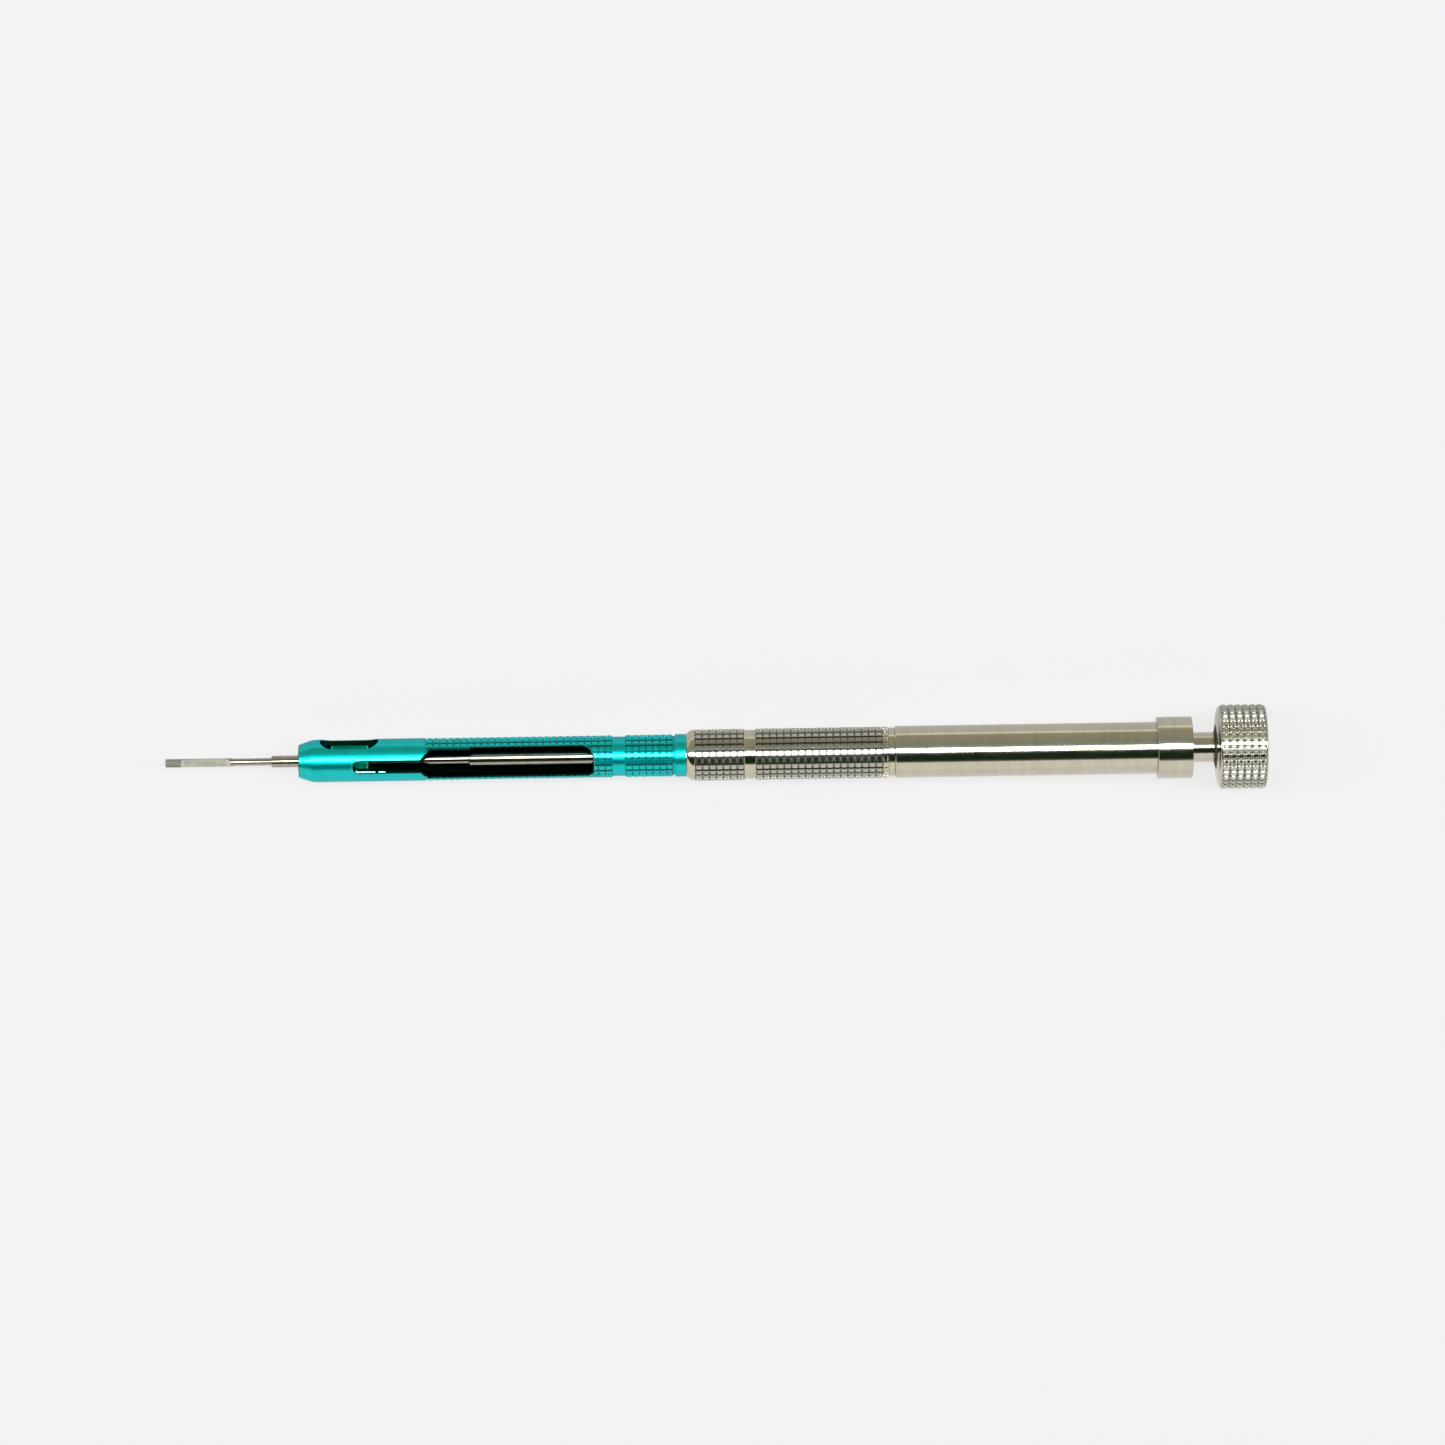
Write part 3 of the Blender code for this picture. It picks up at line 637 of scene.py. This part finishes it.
def make_grip():
    """Steel grip with two beaded bands, a closing row of beads and its keyway."""
    edge_r = GRIP_R - GRIP_RING_DEPTH
    first, second, last = (at(79.65), at(87.0)), (at(88.75), at(107.8)), (at(107.86), at(108.56))
    bands = ((first, GRIP_RINGS_SHORT), (second, GRIP_RINGS_LONG))
    beaded_from = 3.5 * MM
    front = [
        (at(79.5), BORE_R), (at(79.5), 2.95 * MM), (GRIP_X, 2.95 * MM), (GRIP_X, 3.3 * MM),
        (at(78.9), 3.72 * MM), (at(79.5), 3.86 * MM), (at(79.62), edge_r),
    ]
    middle = [
        (at(87.02), edge_r), (at(87.08), GRIP_BAND_R),
        (at(88.68), GRIP_BAND_R), (at(88.73), edge_r),
    ]
    rear = [
        (at(108.6), edge_r), (GRIP_END, edge_r), (GRIP_END, 3.2 * MM), (at(103.6), 3.2 * MM),
        (at(103.6), BORE_R), (at(100.0), BORE_R),
    ]
    rows = (GRIP_ROWS, GRIP_ROW_TURN, FINE_WALL)
    beads = (*rows, GRIP_R, GRIP_RING_DEPTH, GRIP_ROW_DEPTH)
    rings = soft(front, 0.3 * MM)
    rings += knurl(*bands[0], *beads)
    rings += soft(middle, 0.08 * MM)
    rings += knurl(*bands[1], *beads)
    rings += [(at(107.83), GRIP_R - GRIP_ROW_DEPTH)]
    rings += knurl(last, 1, *beads)
    rings += soft(rear, 0.08 * MM)
    grip = spun("grip", rings, "handle", STEEL, row_angles(*rows))
    # Painted shade down the grooves
    mark_painted_groove_shade(grip, bands, *rows, beaded_from, 0.95, 0.78)
    for low, high in (first, second):
        paint_faces(grip, BEADED, low - 0.05 * MM, high + 0.05 * MM, outside=beaded_from)
    cut(grip, block_cutter("grip_keyway", 82.6, 104.0, KEYWAY_ACROSS, KEYWAY_HEIGHT, STEEL))
    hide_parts("grip_sleeve")


def make_tube():
    """Plain tube with its keyway, and the ring in the groove in front of it."""
    edge = 0.12 * MM
    joint = ring_piece("joint_ring", GRIP_END + 0.02 * MM, at(109.63), 3.2 * MM, GRIP_BAND_R,
                       "handle", STEEL)
    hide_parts("tube_joint_ring")
    outline = [
        (at(130.0), BORE_R), (at(103.7), BORE_R), (at(103.7), 3.15 * MM), (at(109.65), 3.15 * MM),
        (at(109.65), GRIP_R - edge), (at(109.65) + edge, GRIP_R), (at(149.4), GRIP_R),
        (at(149.4), 3.6 * MM), (at(152.3), 3.6 * MM), (at(152.3), 3.2 * MM), (at(145.9), 3.2 * MM),
        (at(145.9), BORE_R), (at(130.1), BORE_R),
    ]
    body = spun("tube_body", soft(outline), "handle", STEEL)
    cut(body, block_cutter("tube_keyway", 103.0, 146.1, KEYWAY_ACROSS, KEYWAY_HEIGHT, STEEL))
    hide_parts("rear_tube")


def make_collar():
    """Collar on the tube's rear end, with a groove for the wiper inside."""
    hole = 2.55 * MM
    edge = 0.12 * MM
    outline = [
        (at(152.8), hole), (at(152.35), hole), (at(152.35), 3.65 * MM), (at(149.45), 3.65 * MM),
        (at(149.45), 3.95 * MM), (COLLAR_X, 3.95 * MM), (COLLAR_X, COLLAR_R),
        (COLLAR_END, COLLAR_R), (COLLAR_END, hole), (at(153.6), hole),
        (at(153.6), 3.05 * MM), (at(153.0), 3.05 * MM), (at(153.0), hole),
    ]
    collar = spun("collar", soft(outline, edge), "handle", STEEL)
    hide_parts("end_collar")


# Sliding pieces


def make_tip():
    """Round tip with a flat scooped out behind its end block."""
    blade, neck, hub, stud = 0.625 * MM, 0.55 * MM, 0.875 * MM, 0.5 * MM
    outline = [
        (at(0), 0), (at(0), blade), (at(10.0), blade), (at(10.1), neck), (at(15.87), neck),
        (at(15.95), hub), (at(24.0), hub), (at(24.0), stud), (at(27.0), stud), (at(27.0), 0),
    ]
    tip = spun("scooped_tip", soft(outline, 0.1 * MM), "push_rod", THIN_STEEL, 64)
    flat, front_sweep, rear_sweep = 0.12 * MM, 0.75 * MM, 1.2 * MM
    scoop_front, scoop_rear, clear = at(2.25), at(10.0), 2 * MM
    profile = [(scoop_front, clear)]
    profile += arc(scoop_front + front_sweep, flat + front_sweep, front_sweep, 180, 270)
    profile += arc(scoop_rear - rear_sweep, flat + rear_sweep, rear_sweep, -90, 0)
    profile += [(scoop_rear, clear)]
    bm = bmesh.new()
    sides = [[bm.verts.new((x, y, z)) for x, z in profile] for y in (-clear, clear)]
    bm.faces.new(sides[0])
    bm.faces.new(sides[1])
    for i in range(len(profile)):
        j = (i + 1) % len(profile)
        face = bm.faces.new((sides[0][i], sides[0][j], sides[1][j], sides[1][i]))
        face.material_index = int(profile[i][0] < scoop_front + 0.3 * front_sweep)
    bmesh.ops.recalc_face_normals(bm, faces=bm.faces)
    bmesh.ops.rotate(bm, verts=bm.verts, matrix=Matrix.Rotation(KEYHOLE_TURN, 3, "X"))
    scoop = piece_from("scoop", bm, None, MILLED)
    scoop.data.materials.append(BRIGHT)
    cut(tip, scoop)
    paint_faces(tip, GROUND, high=at(2.24))
    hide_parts("driver_tip")


def make_rod():
    """Stepped rod: thin in front, thick from the step on."""
    thin, thick, socket = 1.05 * MM, 1.425 * MM, 0.55 * MM
    outline = [
        (at(27.4), 0), (at(27.4), socket), (at(24.05), socket), (at(24.05), thin), (at(45.7), thin),
        (at(45.7), thick), (at(86.5), thick), (at(86.5), 0),
    ]
    rod = spun("stepped_rod", soft(outline, 0.3 * MM), "push_rod", THIN_STEEL, 96)
    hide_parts("push_rod")


# Turning pieces


def make_screw():
    """Two-start screw: a flank profile swept along the thread's lead."""
    steps, spacing = 64, 0.1 * MM
    root = 2.12 * MM
    start, end = at(91.6), at(152.8)
    pitch = THREAD_LEAD / THREAD_STARTS
    crest_half, flank_width = 0.33, 0.14
    angles = 2 * np.pi * np.arange(steps) / steps
    count = int((end - start) / spacing)
    rings = soft([(at(88.0), 0), (at(88.0), 1.0 * MM), (at(91.3), 1.0 * MM), (at(91.3), root)])
    for i in range(count + 1):
        x = start + (end - start) * i / count
        phase = np.mod((x - THREAD_LEAD * angles / (2 * np.pi)) / pitch, 1.0)
        flank = np.clip((crest_half - np.abs(phase - 0.5)) / flank_width, 0, 1)
        fade = min(1.0, (x - start) / pitch, (end - x) / pitch)
        rings.append((x, root + (THREAD_R - root) * flank * max(fade, 0.0)))
    rings += soft([(at(152.9), root), (at(153.0), STEM_R), (KNOB_X - 0.05 * MM, STEM_R),
                   (KNOB_X - 0.05 * MM, 2.0 * MM), (at(163.0), 2.0 * MM), (at(163.0), 0)])
    screw = spun("screw_stem", rings, "knob_screw", STEEL, steps)
    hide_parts("lead_screw")


def make_knob():
    """Beaded knob with a hollow round the stem painted dark as shade, a round front shoulder and
    its pin's hole.
    """
    bore = 2.05 * MM
    edge_r = KNOB_R - KNOB_RING_DEPTH
    beads_front, beads_end = at(158.56), at(165.1)
    span = (beads_front, beads_end)
    rows = (KNOB_ROWS, KNOB_ROW_TURN, KNOB_WALL)
    beaded_from = 5.8 * MM
    front = [
        (at(163.1), 0), (at(163.1), bore), (KNOB_X, bore), (KNOB_X, 2.4 * MM),
        (KNOB_X + 0.27 * MM, 3.35 * MM),
    ]
    centre_x, centre_r = beads_front - 0.02 * MM, 3.9 * MM
    shoulder = [(KNOB_X + 0.28 * MM, 3.4 * MM)]
    for angle in np.linspace(math.pi * 0.97, math.pi / 2, 12):
        shoulder.append((centre_x + 0.62 * MM * math.cos(angle),
                         centre_r + (edge_r - centre_r) * math.sin(angle)))
    rear = [
        (beads_end + 0.02 * MM, edge_r), (at(165.2), KNOB_R - 0.16 * MM),
        (KNOB_END, KNOB_R - 0.5 * MM), (KNOB_END, 0),
    ]
    rings = soft(front) + shoulder
    rings += knurl(span, KNOB_RINGS, *rows, KNOB_R, KNOB_RING_DEPTH, KNOB_ROW_DEPTH)
    rings += soft(rear, 0.15 * MM)
    knob = spun("beaded_knob", rings, "knob_screw", STEEL, row_angles(*rows))
    # Painted shade down the grooves
    mark_painted_groove_shade(knob, ((span, KNOB_RINGS),), *rows, beaded_from, 0.5, 0.5)
    paint_faces(knob, KNOB_BEADED, beads_front - 0.05 * MM, beads_end + 0.05 * MM,
                outside=beaded_from)
    # The hollow round the stem painted dark as shade
    paint_faces(knob, SHADED, high=KNOB_X + 0.2 * MM, outside=2.1 * MM, inside=3.45 * MM)
    pin_r, pin_depth = 0.45 * MM, 7 * MM
    bm = bmesh.new()
    bmesh.ops.create_cone(bm, cap_ends=True, segments=32, radius1=pin_r, radius2=pin_r,
                          depth=pin_depth)
    bmesh.ops.translate(bm, verts=bm.verts, vec=(at(161.6), 0, -4.5 * MM))
    cut(knob, piece_from("pin_hole", bm, None, STEEL))
    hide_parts("knob")


# Stage


def make_floor():
    """Pale table that the nose and the knob's front rim rest on."""
    nose_x, nose_r = at(22.65), BARREL_R
    knob_x, knob_r = at(158.8), KNOB_R
    slope = math.atan2(knob_r - nose_r, knob_x - nose_x)
    bm = bmesh.new()
    bmesh.ops.create_grid(bm, x_segments=1, y_segments=1, size=FLOOR_HALF)
    mesh = bpy.data.meshes.new("floor")
    bm.to_mesh(mesh)
    bm.free()
    floor = bpy.data.objects.new("floor", mesh)
    floor.rotation_euler.y = slope
    floor.location = (knob_x, 0, -knob_r / math.cos(slope) - 0.02 * MM)
    bpy.context.scene.collection.objects.link(floor)
    nodes = Nodes("pale_table")
    grain = nodes.spread(nodes.noise((1.0, 1.0, 1.0), 120, 3.0), 0, 1)
    colour = nodes.blend_colours(grain, (FLOOR_ALBEDO,) * 3, (FLOOR_ALBEDO * 1.01,) * 3)
    nodes.link(colour, nodes.shader.inputs["Base Color"])
    split = nodes.add("ShaderNodeSeparateXYZ")
    nodes.link(nodes.add("ShaderNodeTexCoord").outputs["Object"], split.inputs[0])
    mirrored = nodes.spread(split.outputs["Y"], FLOOR_GLOW_NEAR, FLOOR_GLOW_FAR, -3 * MM, 3 * MM)
    glow = nodes.add("ShaderNodeMix")
    glow.inputs["B"].default_value = FLOOR_GLOW
    nodes.link(nodes.add("ShaderNodeLightPath").outputs["Is Camera Ray"], glow.inputs["Factor"])
    nodes.link(mirrored, glow.inputs["A"])
    nodes.link(glow.outputs["Result"], nodes.shader.inputs["Emission Strength"])
    nodes.set(Roughness=0.9, Emission_Color=(1, 1, 1, 1), Specular_IOR_Level=0.0)
    mesh.materials.append(nodes.material)


def make_world():
    """Studio surround in long soft bands, by roll angle about the tool's axis."""
    world = bpy.data.worlds.new("studio")
    bpy.context.scene.world = world
    world.use_nodes = True
    tree = world.node_tree
    background = tree.nodes["Background"]
    place = tree.nodes.new("ShaderNodeTexCoord")
    split = tree.nodes.new("ShaderNodeSeparateXYZ")
    flip = tree.nodes.new("ShaderNodeMath")
    flip.operation = "MULTIPLY"
    flip.inputs[1].default_value = -1
    roll = tree.nodes.new("ShaderNodeMath")
    roll.operation = "ARCTAN2"
    unit = tree.nodes.new("ShaderNodeMapRange")
    unit.inputs["From Min"].default_value = -math.pi
    unit.inputs["From Max"].default_value = math.pi
    ramp = tree.nodes.new("ShaderNodeValToRGB")
    tree.links.new(place.outputs["Generated"], split.inputs[0])
    tree.links.new(split.outputs["Y"], flip.inputs[0])
    tree.links.new(flip.outputs[0], roll.inputs[0])
    tree.links.new(split.outputs["Z"], roll.inputs[1])
    tree.links.new(roll.outputs[0], unit.inputs["Value"])
    tree.links.new(unit.outputs["Result"], ramp.inputs["Fac"])
    stops = ramp.color_ramp.elements
    while len(stops) < len(SURROUND_BANDS):
        stops.new(0.5)
    for stop, (degrees, colour) in zip(stops, SURROUND_BANDS):
        stop.position = (degrees + 180) / 360
        stop.color = (*colour, 1)
    seen = tree.nodes.new("ShaderNodeLightPath")
    choose = tree.nodes.new("ShaderNodeMix")
    choose.data_type = "RGBA"
    choose.inputs["B"].default_value = (*BACKDROP, 1)
    tree.links.new(seen.outputs["Is Camera Ray"], choose.inputs["Factor"])
    tree.links.new(ramp.outputs["Color"], choose.inputs["A"])
    tree.links.new(choose.outputs["Result"], background.inputs["Color"])


def make_strip():
    """Long strip light above the tool, a little towards its far side."""
    light = bpy.data.lights.new("overhead_strip", "AREA")
    light.shape = "RECTANGLE"
    light.size = STRIP_LENGTH
    light.size_y = STRIP_WIDTH
    light.energy = STRIP_STRENGTH * math.pi * light.size * light.size_y
    strip = bpy.data.objects.new("overhead_strip", light)
    strip.location = (0, STRIP_HEIGHT * math.sin(STRIP_LEAN), STRIP_HEIGHT * math.cos(STRIP_LEAN))
    strip.rotation_euler = (-STRIP_LEAN, 0, 0)
    bpy.context.scene.collection.objects.link(strip)


def make_camera():
    """Looks straight down, turned a little so that the tool rises to the right."""
    camera = bpy.data.cameras.new("camera")
    camera.sensor_width = CAMERA_SENSOR
    camera.lens = CAMERA_LENS
    camera.clip_start, camera.clip_end = 0.05, 10
    obj = bpy.data.objects.new("camera", camera)
    obj.location = CAMERA_PLACE
    obj.rotation_euler = (0, 0, CAMERA_ROLL)
    bpy.context.scene.collection.objects.link(obj)
    bpy.context.scene.camera = obj
    bpy.context.scene.view_settings.view_transform = "Standard"


finish_cad_nodes()
make_barrel()
make_nose_bush()
make_grip()
make_tube()
make_collar()
make_tip()
make_rod()
make_screw()
make_knob()
make_floor()
make_world()
make_strip()
make_camera()
